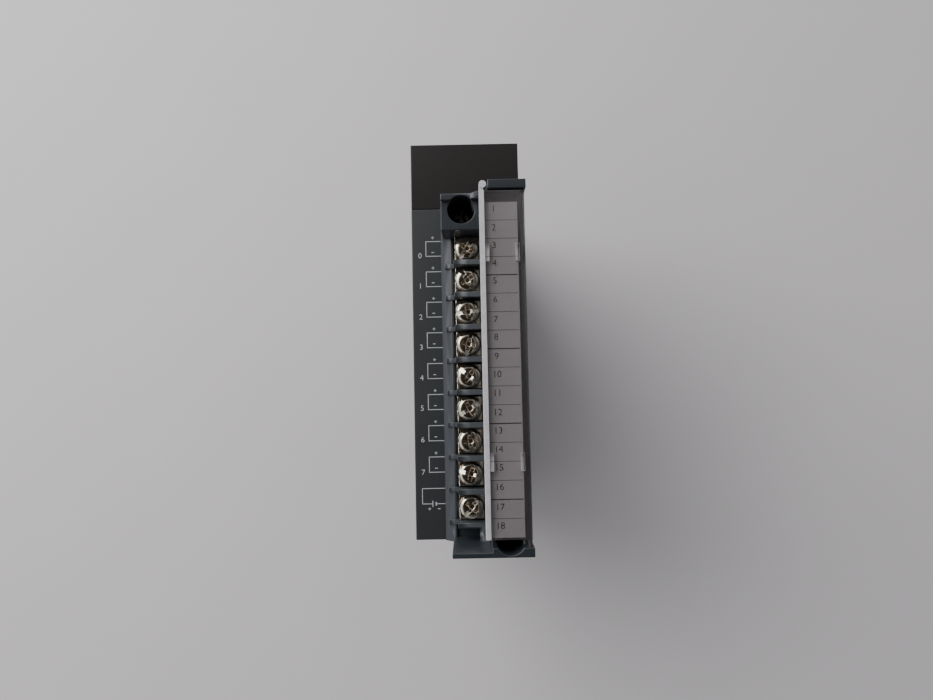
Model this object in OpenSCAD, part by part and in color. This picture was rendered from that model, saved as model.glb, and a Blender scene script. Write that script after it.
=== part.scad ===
// Input-output module of a rack controller, with a lift-off screw terminal block on its front.
// X runs across the rack, Y towards the module's top, Z out of its front.
// The origin is the middle of the case's rear face, which seats on the rack.

/* [Case] */
// Width of the case across the rack
case_w = 27; // [27:0.5:28]
// Height of the case
case_h = 98; // [98:0.5:99]
// Depth of the case, from its rear face to its front face
case_d = 90; // [89:1:96]
// Thickness of the moulded walls
wall_t = 1.8; // [1.7:0.1:1.9]
// Depth of the rear shell, from the rear face to the seam
seam_z = 58; // [56:1:60]
// Width of the printed strip beside the terminal block
strip_w = 7.5; // [7.4:0.1:7.6]
// Height of the dark window cover over the status lamp
cover_h = 16.5; // [16:0.5:16.5]

/* [Terminal block] */
// Distance between two screws of one column
pitch = 7.62; // [7.6:0.01:7.64]
// Number of screws in each of the two columns
column_n = 9; // [5:1:9]
// Height of the lower terminal floor above the case's front face
lower_floor = 4.2; // [4:0.1:4.4]
// Height of the upper terminal floor above the case's front face
upper_floor = 11.9; // [11.7:0.1:12.1]
// Height of the end walls above the case's front face
block_rise = 22.6; // [22.4:0.1:23]
// Thickness of the barriers between two terminals
barrier_t = 1.3; // [1.1:0.1:1.4]
// Radius of a terminal screw's head
head_r = 2.85; // [2.6:0.05:2.9]
// Radius of the wells that the two fixing screws sit in
well_r = 3.15; // [2.9:0.05:3.2]

/* [Label door] */
// Thickness of the clear door
door_t = 1.1; // [0.9:0.1:1.2]
// Radius of the round edge that the door turns on
barrel_r = 0.65; // [0.6:0.05:0.65]
// Radius of the door's two pivots
pivot_r = 0.5; // [0.4:0.05:0.5]

/* [Rear connector] */
// Number of contacts in each of the two rows
bus_n = 16; // [8:1:16]
// Distance between two contacts of one row
bus_pitch = 2; // [1.6:0.1:2]
// How far the connector's shroud and the lower hooks stand out of the rear face
rear_reach = 4.5; // [4.5:0.5:6]

/* [Hidden] */
$fn = 48;
gap = 0.3; // between pieces that move apart
snug = 0.05; // between pieces that fit together
tight = 0.02; // between pieces pressed together
over = 1; // how far a cut runs past the face it opens

half_w = case_w / 2;
half_h = case_h / 2;
inner_x = half_w - wall_t;
inner_y = half_h - wall_t;

// Bay in the front of the case, which the terminal block plugs into
rim_t = 1.5;
bay_depth = 11;
insert_depth = 9;
bay_left = -half_w + strip_w;
bay_right = half_w - rim_t;
bay_bottom = -half_h + rim_t;
bay_top = half_h - cover_h;
bay_z = case_d - bay_depth;
tongue_h = 6;
tongue_t = 1.4;
cover_t = 2;
snap_ys = [-30, 30];
snap_z = seam_z - 5.4;
snap_h = 3.4;
socket_x = [1.3, 7];
socket_end = 2;
boss_r = 2.7;

// Terminal block
plug_left = bay_left + gap;
plug_right = bay_right - gap;
plug_bottom = bay_bottom + gap;
plug_top = bay_top - gap;
plug_z = bay_z + gap;
deck_z = case_d + 0.4;
lower_z = case_d + lower_floor;
upper_z = case_d + upper_floor;
top_z = case_d + block_rise;
ear_z = case_d + 13.4;
ear_h = 8.3;
ear_bottom = plug_top - ear_h;
flange_x = bay_left - 0.15;
flange_z = case_d + 2.9;
ridge_x = plug_left + 1.9;
lower_wall_x = plug_left + 2.4;
ridge_z = case_d + 5;
barrier_z = case_d + 10.4;
step_x = 3.4;
block_right = half_w - 0.5;
block_bottom = -half_h + 0.4;
block_top = bay_top + 0.3;
end_wall_t = 2;
thin_wall_t = 1.1;
end_wall_right = block_right + 0.3;
upper_rib_x = 4.3;
side_wall_x = 11.6;
side_wall_z = top_z - 2.6;

// Screw positions
lower_x = 0.2;
upper_x = 8.1;
lower_first_y = plug_top - 11.4;
lower_leg_x = 2.9;
upper_leg_x = 5.4;
fixing_1 = [-1, plug_top - 3.65];
fixing_2 = [8.25, block_bottom + 3.6];
well_z = case_d + 4.5;

// Terminal hardware
bar_t = 0.8;
bar_half = 2.9;
leg_half = 1.2;
leg_z = bay_z - 6.5;
clamp_t = 1.1;
shank_r = 1.5;
head_h = 2;
fixing_shank_r = 1.45;
neck_r = 1.1;
insert_r = 2;

// Door
axis_x = 12.35;
axis_z = top_z - 1.3;
door_z = top_z - 0.4;
door_left = 3;
door_bottom = block_bottom + end_wall_t + 1.6;
door_top = block_top - end_wall_t - gap;
lip_w = 1.0;
lip_z = top_z - 2.7;
window_ys = [16.8, -28.6];
window_l = 3.9;
window_w = 0.8;
hook_z = lip_z + 0.4;
hook_t = 0.4;
card_left = door_left + lip_w + 0.1;
card_right = axis_x - barrel_r - 0.3;
card_z = door_z - door_t - 0.02;
card_t = 0.2;
catch_place = [door_left + 0.8, block_top - 1];
catch_r = 0.8;

// Boards
board_t = 1.6;
main_x = 3.35;
output_x = -8.1;
board_y = 45.5;
spacer_places = [[-41, 10], [-41, 50], [41, 50]];
transformer_place = [-1.6, 20, 26];
rail_t = 1.2;
rail_z = 51.5;
lamp_place = [1.3, 42.5];

// Rear connector
bus_x = -0.3;
bus_y = 21;
bus_len = 34;
bus_half_w = 5;
bus_row = 2.6;
bus_top = 8;

// Latch on the upper rear edge
latch_y = 44.4;
latch_z = 30;
latch_half_w = 4.4;
pin_r = 1;
pin_x = [-6.3, 6.4];
pocket_half_w = latch_half_w + 0.5;
pocket_y = 41;
pocket_z = 34;
button_gap_z = 22;

// Fixing screw hole in the upper rear corner
fixing_hole = [10.2, 45.6];
fixing_hole_r = 1.7;
flange_t = 5;
notch_left = 7.2;
notch_bottom = 42.5;
notch_z = 24;

// Rating plate in the side of the rear shell
plate_half_l = 30;
plate_low = 10;
plate_high = 48;
plate_recess = 0.3;

function lower_y(k) = lower_first_y - k * pitch;
function upper_y(k) = lower_y(k) + pitch / 2;
// A screw stops at whatever angle it was tightened to
function slot_angle(k, start) = start + k * 67;

// A block between two opposite corners
module slab(low, high) {
    translate(low) cube(high - low);
}

// An outline in Y and Z, drawn out along X
module along_x(x0, x1) {
    translate([x0, 0, 0]) rotate([90, 0, 90]) linear_extrude(x1 - x0) children();
}

// An outline in X and Z, drawn out along Y
module along_y(y0, y1) {
    translate([0, y1, 0]) rotate([90, 0, 0]) linear_extrude(y1 - y0) children();
}

module rod_x(x0, x1, y, z, r) {
    translate([x0, y, z]) rotate([0, 90, 0]) cylinder(r = r, h = x1 - x0);
}

module rod_y(y0, y1, x, z, r) {
    translate([x, y0, z]) rotate([-90, 0, 0]) cylinder(r = r, h = y1 - y0);
}

module rod_z(z0, z1, place, r) {
    translate([place[0], place[1], z0]) cylinder(r = r, h = z1 - z0);
}

// A row of cooling slots through the top or the bottom wall
module vents(y0, y1, z0, z1) {
    for (x = [-9 : 3.6 : 9]) {
        slab([x - 0.9, y0, z0], [x + 0.9, y1, z1]);
    }
}

// ---- Case ----

module rear_tray() {
    difference() {
        slab([-half_w, -half_h, 0], [half_w, half_h, seam_z]);
        slab([-inner_x, -inner_y, wall_t], [inner_x, inner_y, seam_z + over]);
    }
}

// Two ribs that hold a board's edge between them
module board_rails(x0, x1) {
    rail_y = board_y - 0.9;
    for (x = [x0 - rail_t - 0.1, x1 + 0.1]) {
        slab([x, -inner_y - snug, wall_t], [x + rail_t, -rail_y, rail_z]);
        slab([x, rail_y, pocket_z + 3], [x + rail_t, inner_y + snug, rail_z]);
    }
}

// The fixed hooks that drop into the rack's lower slots
module lower_hooks() {
    hook = [[-41, 0.5], [-41, -rear_reach], [-47.5, -rear_reach], [-47.5, -2.3], [-45, -2.3], [-45, 0.5]];
    for (x = [-9, 5]) {
        along_x(x, x + 4) polygon(hook);
    }
}

module rear_case() {
    color("#3a3d40")
    difference() {
        union() {
            rear_tray();
            // Housing of the latch, and the walls round the notch
            slab([pin_x[0] - 0.1, pocket_y - 1.3, 0], [notch_left, half_h - 0.5, pocket_z + 1.3]);
            slab([pocket_half_w, pocket_y, 0], [half_w, half_h, notch_z + 1.5]);
            board_rails(main_x, main_x + board_t);
            board_rails(output_x, output_x + board_t);
            lower_hooks();
        }
        // Room for the latch, and the gap in the top wall over its button
        slab([-pocket_half_w, pocket_y, -over], [pocket_half_w, inner_y, pocket_z]);
        slab([-pocket_half_w, pocket_y + 5, -over], [pocket_half_w, half_h + over, button_gap_z]);
        rod_x(pin_x[0] - over, pin_x[1] + 0.2, latch_y, latch_z, pin_r + tight);
        // Corner notch and flange for the screw that fixes the module to the rack
        slab([notch_left, notch_bottom, flange_t], [half_w + over, half_h + over, notch_z]);
        rod_z(-over, flange_t + over, fixing_hole, fixing_hole_r);
        // Window for the rear connector
        slab([bus_x - bus_half_w - 0.1, bus_y - bus_len / 2 - 0.1, -over],
             [bus_x + bus_half_w + 0.1, bus_y + bus_len / 2 + 0.1, wall_t + over]);
        for (y = snap_ys) {
            slab([-half_w - over, y - 2.4, snap_z], [half_w + over, y + 2.4, snap_z + snap_h]);
        }
        slab([half_w - plate_recess, -plate_half_l, plate_low], [half_w + over, plate_half_l, plate_high]);
        vents(inner_y - over, half_h + over, 38, 50);
        vents(-half_h - over, -inner_y + 0.4, 8, 24);
        vents(-half_h - over, -inner_y + 0.4, 30, 46);
    }
}

// The tongue that enters the rear shell, with its four snap lugs
module front_tongue() {
    tongue_x = inner_x - snug;
    tongue_y = inner_y - snug;
    difference() {
        union() {
            slab([-tongue_x, -tongue_y, seam_z - tongue_h], [tongue_x, tongue_y, seam_z + over]);
            slab([-inner_x - snug, -inner_y - snug, seam_z], [inner_x + snug, inner_y + snug, seam_z + over]);
        }
        slab([-tongue_x + tongue_t, -tongue_y + tongue_t, seam_z - tongue_h - over],
             [tongue_x - tongue_t, tongue_y - tongue_t, seam_z + 2 * over]);
    }
    for (y = snap_ys) {
        for (side = [-1, 1]) {
            x = side * (tongue_x + 0.6);
            slab([x - 0.7, y - 2, snap_z + 0.4], [x + 0.7, y + 2, snap_z + snap_h - 0.4]);
        }
    }
}

module front_case() {
    color("#3a3d40")
    difference() {
        union() {
            difference() {
                slab([-half_w, -half_h, seam_z], [half_w, half_h, case_d]);
                // Room under the bay, beside it and above it
                slab([-inner_x, -inner_y, seam_z - over], [inner_x, inner_y, bay_z - wall_t]);
                slab([-inner_x, -inner_y, seam_z], [bay_left - wall_t, bay_top, case_d - wall_t]);
                slab([-inner_x, bay_top + wall_t, seam_z], [inner_x, inner_y, case_d + over]);
            }
            front_tongue();
            for (place = [fixing_1, fixing_2]) {
                rod_z(bay_z - bay_depth, bay_z - 0.5, place, boss_r);
            }
        }
        slab([bay_left, bay_bottom, bay_z], [bay_right, bay_top, case_d + over]);
        // Seat of the lamp cover
        slab([-half_w - over, bay_top, case_d - cover_t], [half_w + over, half_h + over, case_d + over]);
        for (place = [fixing_1, fixing_2]) {
            rod_z(bay_z - insert_depth - 0.2, bay_z + over, place, insert_r + tight);
        }
        // Window for the socket
        slab([socket_x[0] - 0.1, lower_y(column_n - 1) - socket_end - 0.1, bay_z - wall_t - over],
             [socket_x[1] + 0.1, upper_y(0) + socket_end + 0.1, bay_z + over]);
        vents(inner_y - over, half_h + over, 61, 82);
        vents(-half_h - over, -inner_y + over, 61, 75);
    }
}

module lamp_cover() {
    skirt = 1.2;
    skirt_low = [-inner_x + 0.1, bay_top + wall_t + 0.1, case_d - cover_t - 1.5];
    skirt_high = [inner_x - 0.1, inner_y - 0.1, case_d - cover_t + 0.5];
    inset = [skirt, skirt, 0];
    color("#201d1b")
    union() {
        slab([-half_w, bay_top, case_d - cover_t], [half_w, half_h, case_d]);
        difference() {
            slab(skirt_low, skirt_high);
            slab(skirt_low + inset - [0, 0, over], skirt_high - inset);
        }
    }
}

// Clear rod that carries the lamp's light to the cover, on a foot against the board
module light_guide() {
    foot_half = 0.6;
    foot_top = 85.4;
    back = main_x - snug;
    color("whitesmoke")
    union() {
        rod_z(84, case_d - cover_t - gap, lamp_place, 1.2);
        slab([lamp_place[0], lamp_place[1] - foot_half, 84.2], [back, lamp_place[1] + foot_half, foot_top]);
        slab([2.4, lamp_place[1] - foot_half, 80], [back, lamp_place[1] + foot_half, foot_top]);
    }
}

// Blank rating plate, sunk in the side of the rear shell
module nameplate() {
    margin = 0.2;
    color("silver")
    slab([half_w - plate_recess + tight, -plate_half_l + margin, plate_low + margin],
         [half_w - 0.03, plate_half_l - margin, plate_high - margin]);
}

module threaded_inserts() {
    color("goldenrod")
    for (place = [fixing_1, fixing_2]) {
        difference() {
            union() {
                rod_z(bay_z - insert_depth, bay_z - 0.2, place, insert_r - 0.3);
                rod_z(bay_z - 8.6, bay_z - 5.2, place, insert_r);
                rod_z(bay_z - 3.8, bay_z - 0.2, place, insert_r);
            }
            rod_z(bay_z - insert_depth - over, bay_z + over, place, shank_r);
        }
    }
}

// ---- Latch ----

module latch_hook() {
    lever = [
        [43.2, latch_z], [43.2, -4.2], [44.6, -4.2], [47.4, -2.4], [47.4, -0.8], [45.6, -0.8],
        [45.6, 5.5], [48.4, 5.5], [48.4, 17], [45.6, 20], [45.6, latch_z]
    ];
    color("#33363a")
    difference() {
        union() {
            along_x(-latch_half_w, latch_half_w) polygon(lever);
            rod_x(-latch_half_w, latch_half_w, latch_y, latch_z, 2.2);
        }
        rod_x(-latch_half_w - over, latch_half_w + over, latch_y, latch_z, pin_r + snug);
        rod_x(-1.5, 1.5, latch_y, latch_z, 2.5);
        // Groove for the spring's moving leg
        slab([0.4, 43, 20.5], [1.4, 43.7, latch_z]);
        // Finger grips across the button
        for (z = [8 : 2 : 16]) {
            slab([-latch_half_w - over, 47.9, z - 0.4], [latch_half_w + over, 49, z + 0.4]);
        }
    }
}

module latch_pin() {
    color("silver") rod_x(pin_x[0], pin_x[1], latch_y, latch_z, pin_r);
}

// Torsion spring on the pin: close coils, grooved where they meet, and two straight legs
module latch_spring() {
    wire_r = 0.25;
    coil_r = 1.65;
    coils = 5;
    half_l = coils * wire_r;
    groove = 0.12;
    grooved_side = [
        for (i = [0 : coils - 1])
        for (step = [[-1, -groove], [-0.5, 0], [0.5, 0]])
        [coil_r + wire_r + step[1], -half_l + (2 * i + 1 + step[0]) * wire_r]
    ];
    color("lightgray")
    union() {
        translate([0, latch_y, latch_z]) rotate([0, 90, 0]) rotate_extrude()
        polygon(concat([[coil_r - wire_r, -half_l]], grooved_side,
                       [[coil_r + wire_r - groove, half_l], [coil_r - wire_r, half_l]]));
        rod_y(pocket_y + snug, latch_y, -0.9, latch_z + coil_r, wire_r);
        rod_z(22, latch_z, [0.9, latch_y - coil_r], wire_r);
    }
}

// ---- Boards and what is on them ----

module spacer_holes(x) {
    for (place = spacer_places) {
        rod_x(x - over, x + board_t + over, place[0], place[1], 1.6);
    }
}

module main_board() {
    outline = [
        [-board_y, 3], [2, 3], [2, 8.4], [39.5, 8.4], [39.5, 36.5], [board_y, 36.5],
        [board_y, 84], [35, 84], [35, bay_z - 12.5], [-board_y, bay_z - 12.5]
    ];
    color("darkgreen")
    difference() {
        along_x(main_x, main_x + board_t) polygon(outline);
        spacer_holes(main_x);
    }
}

module output_board() {
    color("darkgreen")
    difference() {
        slab([output_x, -board_y, 6], [output_x + board_t, board_y, 66]);
        spacer_holes(output_x);
    }
}

module board_spacers() {
    color("goldenrod")
    for (place = spacer_places) {
        difference() {
            translate([output_x + board_t, place[0], place[1]]) rotate([0, 90, 0])
            cylinder(r = 2.9, h = main_x - output_x - board_t, $fn = 6);
            rod_x(output_x, main_x + over, place[0], place[1], shank_r + snug);
        }
    }
}

module board_screws() {
    color("silver")
    for (place = spacer_places) {
        for (side = [0, 1]) {
            face = side == 0 ? output_x : main_x + board_t;
            outwards = side == 0 ? -1 : 1;
            translate([face, place[0], place[1]]) rotate([0, 90 * outwards, 0])
            difference() {
                union() {
                    cylinder(r = 2.7, h = 1.7);
                    translate([0, 0, -4]) cylinder(r = shank_r, h = 4.5);
                }
                translate([-1.6, -0.35, 0.8]) cube([3.2, 0.7, 2]);
                translate([-0.35, -1.6, 0.8]) cube([0.7, 3.2, 2]);
            }
        }
    }
}

// Stacking header that joins the two boards
module board_link() {
    color("#1c1c1e")
    union() {
        slab([-6.4, -18, 56], [0.5, 8, 61]);
        slab([0.4, -17.4, 56.6], [main_x - 0.1, 7.4, 60.4]);
    }
}

function bus_pin_y(i) = bus_y + (i - (bus_n - 1) / 2) * bus_pitch;

module bus_connector() {
    low = [bus_x - bus_half_w, bus_y - bus_len / 2, -rear_reach];
    high = [bus_x + bus_half_w, bus_y + bus_len / 2, bus_top];
    color("#1c1c1e")
    difference() {
        union() {
            slab(low, high);
            slab([bus_x - 6, low[1] - 0.9, wall_t + 0.1], [bus_x + 6, high[1] + 0.9, 3.2]);
        }
        slab(low + [1, 1, -over], [high[0] - 1, high[1] - 1, 1.5]);
        for (i = [0 : bus_n - 1]) {
            for (side = [-1, 1]) {
                x = bus_x + side * bus_row;
                slab([x - 0.35, bus_pin_y(i) - 0.35, 1], [x + 0.35, bus_pin_y(i) + 0.35, bus_top + over]);
            }
        }
    }
}

// Square pins, bent over to the main board at two heights
module bus_contacts() {
    color("gold")
    for (i = [0 : bus_n - 1]) {
        for (side = [-1, 1]) {
            x = bus_x + side * bus_row;
            y = bus_pin_y(i);
            bend_z = side == 1 ? 8.3 : 10;
            slab([x - 0.3, y - 0.3, -3.2], [x + 0.3, y + 0.3, bend_z + 0.6]);
            slab([x + 0.2, y - 0.3, bend_z], [main_x, y + 0.3, bend_z + 0.6]);
        }
    }
}

// Where each blade of the terminal block enters the socket: its X, its Y, and how far
// beside its X the contact's tail runs, which brings the tails of both rows to one face of the board
function blade_places() = concat(
    [for (k = [0 : column_n - 1]) [lower_leg_x, lower_y(k), 0.05]],
    [for (k = [0 : column_n - 1]) [upper_leg_x, upper_y(k), -0.45]]
);

module block_socket() {
    color("#1c1c1e")
    difference() {
        slab([socket_x[0], lower_y(column_n - 1) - socket_end, bay_z - 12.2],
             [socket_x[1], upper_y(0) + socket_end, bay_z]);
        for (p = blade_places()) {
            tail_x = p[0] + p[2];
            slab([p[0] - 0.95, p[1] - 1.6, bay_z - 11], [p[0] + 0.95, p[1] + 1.6, bay_z + over]);
            slab([tail_x - snug, p[1] - 0.45, bay_z - 14], [tail_x + 0.45, p[1] + 0.45, bay_z - 10]);
        }
    }
}

// Two-sided spring contacts, each with a tail on the board's face
module socket_contacts() {
    color("gold")
    for (p = blade_places()) {
        slab([p[0] - 0.9, p[1] - 1.3, bay_z - 10.9], [p[0] + 0.9, p[1] + 1.3, bay_z - 10.5]);
        slab([p[0] - 0.9, p[1] - 1.3, bay_z - 10.9], [p[0] - 0.7, p[1] + 1.3, bay_z - 2]);
        slab([p[0] + 0.7, p[1] - 1.3, bay_z - 10.9], [p[0] + 0.9, p[1] + 1.3, bay_z - 2]);
        slab([p[0] + p[2], p[1] - 0.4, bay_z - 17.5], [p[0] + p[2] + 0.4, p[1] + 0.4, bay_z - 10.6]);
    }
}

// A moulded chip lying on a board, its legs along two edges
module chip(x, outwards, y, z, w, h, t, legs) {
    step = h / legs;
    translate([x, y, z])
    mirror([outwards == 1 ? 0 : 1, 0, 0]) {
        slab([0.15, -w / 2, -h / 2], [t, w / 2, h / 2]);
        for (i = [0 : legs - 1]) {
            leg_place = -h / 2 + (i + 0.5) * step;
            slab([0, -w / 2 - 1, leg_place - 0.2], [0.5, w / 2 + 1, leg_place + 0.2]);
        }
    }
}

module processor_chip() {
    color("#18181a") chip(main_x + board_t, 1, -12, 34, 14, 14, 1.6, 14);
}

module output_chips() {
    color("#18181a")
    for (k = [0 : 7]) {
        chip(output_x, -1, -28 + k * 8, 40, 4, 9, 1.7, 7);
    }
}

module isolator_chips() {
    color("#18181a")
    for (k = [0 : 3]) {
        chip(output_x + board_t, 1, -26 + k * 9, 22, 6.4, 5, 2.6, 4);
    }
}

module capacitors() {
    color("#2d3350")
    for (place = [[-30, 22], [-30, 33], [-19, 22]]) {
        translate([main_x, place[0], place[1]]) rotate([0, -90, 0]) rotate_extrude()
        polygon([[0, 0], [3.9, 0], [4, 0.4], [4, 1.2], [3.7, 1.5], [4, 1.8], [4, 4.6], [3.8, 4.9], [0, 4.9]]);
    }
}

module transformer_core() {
    color("#2b2b2d")
    translate(transformer_place)
    union() {
        difference() {
            slab([-4.1, -7.5, -7], [4.1, 7.5, 7]);
            slab([-5, -5.6, -4.6], [5, 5.6, 4.6]);
        }
        rod_z(-4.8, 4.8, [0, 0], 1.9);
    }
}

module transformer_coil() {
    color("#a05a2c")
    translate(transformer_place)
    difference() {
        rod_z(-4.4, 4.4, [0, 0], 4.1);
        rod_z(-5, 5, [0, 0], 2);
    }
}

module status_lamp() {
    color("#9fd49b")
    union() {
        slab([0.3, 41.5, 80.2], [2.3, 43.5, 83.2]);
        slab([2.2, 41.7, 78.4], [main_x, 43.3, 79.9]);
        slab([0.8, 41.9, 78.9], [2.4, 43.1, 80.4]);
        rod_z(83, 83.8, lamp_place, 0.9);
    }
}

// ---- Terminal block ----

// Outline of the deck: the flange that covers the bay's edge, its slope, lower floor, upper floor
module deck_outline() {
    polygon([
        [flange_x, deck_z], [flange_x, flange_z], [ridge_x, ridge_z], [lower_wall_x, ridge_z],
        [lower_wall_x, lower_z], [step_x, lower_z], [step_x, upper_z], [block_right, upper_z],
        [block_right, deck_z]
    ]);
}

// A low barrier: its bar stands between two lower screws and its flat foot reaches out over the slope
module lower_barrier(y) {
    foot_x = plug_left + 0.5;
    bar_x = lower_x - 3.2;
    along_y(y - barrier_t / 2, y + barrier_t / 2)
    polygon([
        [foot_x, deck_z], [foot_x, ridge_z + 0.1], [bar_x, ridge_z + 0.1],
        [bar_x, barrier_z], [step_x + 0.5, barrier_z], [step_x + 0.5, deck_z]
    ]);
}

module block_solids() {
    slab([plug_left, plug_bottom, plug_z], [plug_right, plug_top, deck_z + snug]);
    along_y(block_bottom, plug_top) deck_outline();
    slab([plug_left, ear_bottom, deck_z], [step_x + 0.1, plug_top, ear_z]);
    slab([plug_left, plug_top - end_wall_t + 0.5, deck_z], [step_x + 0.1, plug_top, ear_z + 1]);
    // Sloped web from the ear up to the upper end wall
    along_y(plug_top - end_wall_t + 0.7, plug_top)
    polygon([[1.2, ear_z], [1.2, ear_z + 1], [step_x + 0.1, ear_z + 4], [step_x + 0.1, ear_z]]);
    for (k = [0 : column_n - 1]) {
        lower_barrier(lower_y(k) - pitch / 2);
    }
    for (k = [0 : column_n]) {
        y = upper_y(k) + pitch / 2 - barrier_t / 2;
        slab([upper_rib_x, y, upper_z - 0.5], [side_wall_x + 0.1, y + barrier_t, side_wall_z]);
    }
    // Wall under the door's hinge
    slab([side_wall_x, block_bottom, upper_z - 0.5], [block_right, block_top, side_wall_z]);
    // End walls that carry the door's pivots, the lower one thinner beside the lower column
    slab([step_x - 0.3, block_top - end_wall_t, deck_z], [end_wall_right, block_top, top_z]);
    slab([ridge_x - 0.4, block_bottom, deck_z], [end_wall_right, block_bottom + thin_wall_t, top_z]);
    slab([upper_rib_x, block_bottom, deck_z], [end_wall_right, block_bottom + end_wall_t, top_z]);
    // Web that stiffens the corner between the last low barrier and the lower end wall
    slab([step_x - 1.5, block_bottom + 0.5, deck_z],
         [step_x + 0.1, lower_y(column_n - 1) - pitch / 2, barrier_z]);
    // Boss round the lower fixing screw
    slab([upper_rib_x, block_bottom + 0.5, upper_z - 0.5],
         [side_wall_x + 0.1, upper_y(column_n - 1) - pitch / 2, top_z - 3.1]);
}

module block_housing() {
    color("#34383c")
    difference() {
        block_solids();
        // Wells and bores of the two fixing screws
        for (place = [fixing_1, fixing_2]) {
            rod_z(well_z, top_z + over, place, well_r);
            rod_z(plug_z - over, well_z + over, place, fixing_shank_r + 0.15);
            rod_z(plug_z - over, plug_z + 1.3, place, insert_r - snug);
        }
        // Corner of the upper end wall that the door's catch snaps into
        slab([step_x - over, block_top - end_wall_t - over, lip_z - 0.4],
             [catch_place[0] + catch_r + gap, block_top + over, top_z + over]);
        // Sockets of the door's pivots
        rod_y(door_top, door_top + 1.8, axis_x, axis_z, pivot_r + snug);
        rod_y(door_bottom - 3.1, door_bottom, axis_x, axis_z, pivot_r + snug);
        for (k = [0 : column_n - 1]) {
            // Slots for the terminals' blades
            slab([lower_leg_x - 0.45, lower_y(k) - leg_half - snug, plug_z - over],
                 [lower_leg_x + 0.45, lower_y(k) + leg_half + snug, lower_z + over]);
            slab([upper_leg_x - 0.45, upper_y(k) - leg_half - snug, plug_z - over],
                 [upper_leg_x + 0.45, upper_y(k) + leg_half + snug, upper_z + over]);
            // Clearance holes under the terminal screws
            rod_z(lower_z - 5.7, lower_z + over, [lower_x, lower_y(k)], shank_r + 0.1);
            rod_z(upper_z - 5.7, upper_z + over, [upper_x, upper_y(k)], shank_r + 0.1);
        }
        // Hollows that keep the moulding's walls even
        slab([plug_left + 1.5, lower_y(column_n - 1) - 2, plug_z - over],
             [lower_x - 2, lower_y(0) + 1, plug_z + 8]);
        slab([upper_leg_x + 1.8, upper_y(column_n - 1) - 2, plug_z - over],
             [plug_right - 1.5, upper_y(0) + 2, plug_z + 14]);
    }
}

// Bars with a screw hole, a threaded collar and a blade bent down into the block
module terminal_bar(screw_x, leg_x, y, floor_z) {
    left = leg_x < screw_x ? leg_x - 0.4 : screw_x - bar_half;
    right = leg_x < screw_x ? screw_x + bar_half + 0.2 : leg_x + 0.4;
    difference() {
        union() {
            slab([left, y - bar_half, floor_z], [right, y + bar_half, floor_z + bar_t]);
            slab([leg_x - 0.4, y - leg_half, leg_z], [leg_x + 0.4, y + leg_half, floor_z + bar_t]);
        }
        rod_z(floor_z - over, floor_z + bar_t + over, [screw_x, y], shank_r + snug);
    }
}

module lower_terminals() {
    color("gainsboro")
    for (k = [0 : column_n - 1]) {
        terminal_bar(lower_x, lower_leg_x, lower_y(k), lower_z);
    }
}

module upper_terminals() {
    color("gainsboro")
    for (k = [0 : column_n - 1]) {
        terminal_bar(upper_x, upper_leg_x, upper_y(k), upper_z);
    }
}

// Square clamp plate with two turned-up edges, captive under a screw's head
module clamp(x, y, floor_z) {
    low_z = floor_z + bar_t + 0.1;
    half = head_r + snug;
    difference() {
        union() {
            slab([x - half, y - bar_half, low_z], [x + half, y + bar_half, low_z + clamp_t]);
            slab([x - half, y - bar_half, low_z], [x - half + 0.5, y + bar_half, low_z + clamp_t + 0.2]);
        }
        rod_z(low_z - over, low_z + clamp_t + over, [x, y], shank_r + snug);
        rod_z(low_z + clamp_t, low_z + clamp_t + over, [x, y], head_r + snug);
    }
}

module lower_clamps() {
    color("gainsboro")
    for (k = [0 : column_n - 1]) {
        clamp(lower_x, lower_y(k), lower_z);
    }
}

module upper_clamps() {
    color("gainsboro")
    for (k = [0 : column_n - 1]) {
        clamp(upper_x, upper_y(k), upper_z);
    }
}

// Terminal screw with a slot and a cross in its head
module terminal_screw(x, y, floor_z, angle) {
    seat_z = floor_z + bar_t + 0.1 + clamp_t;
    slot_w = 0.8;
    cross = 1.7;
    translate([x, y, seat_z]) rotate([0, 0, angle])
    difference() {
        union() {
            cylinder(r = head_r, h = head_h);
            translate([0, 0, -7.2]) cylinder(r = shank_r, h = 7.2 + over);
        }
        translate([-head_r - over, -slot_w / 2, head_h - 0.8]) cube([2 * head_r + 2 * over, slot_w, 2]);
        translate([-slot_w / 2, -cross, head_h - 1.3]) cube([slot_w, 2 * cross, 2]);
    }
}

module lower_screws() {
    color("silver")
    for (k = [0 : column_n - 1]) {
        terminal_screw(lower_x, lower_y(k), lower_z, slot_angle(k, 55));
    }
}

module upper_screws() {
    color("silver")
    for (k = [0 : column_n - 1]) {
        terminal_screw(upper_x, upper_y(k), upper_z, slot_angle(k, 20));
    }
}

// Rings that keep the fixing screws in the lifted block
module screw_retainers() {
    color("silver")
    for (place = [fixing_1, fixing_2]) {
        difference() {
            rod_z(plug_z + 0.2, plug_z + 1.1, place, insert_r - 0.1);
            rod_z(plug_z - over, plug_z + 2, place, neck_r + snug);
        }
    }
}

// Captive screw with a narrow neck at the block's underside
module fixing_screw(place) {
    seat = well_z + gap;
    cross = 1.6;
    color("#161617")
    difference() {
        union() {
            rod_z(seat, seat + 2.4, place, 2.3);
            rod_z(plug_z + 1.4, seat + 0.5, place, fixing_shank_r);
            rod_z(plug_z, plug_z + 1.6, place, neck_r);
            rod_z(bay_z - 6, plug_z + 0.1, place, fixing_shank_r);
        }
        translate([place[0], place[1], seat + 1.2]) rotate([0, 0, 45]) {
            translate([-cross, -0.4, 0]) cube([2 * cross, 0.8, 2]);
            translate([-0.4, -cross, 0]) cube([0.8, 2 * cross, 2]);
        }
    }
}

module upper_fixing_screw() {
    fixing_screw(fixing_1);
}

module lower_fixing_screw() {
    fixing_screw(fixing_2);
}

// ---- Label door ----

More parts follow.
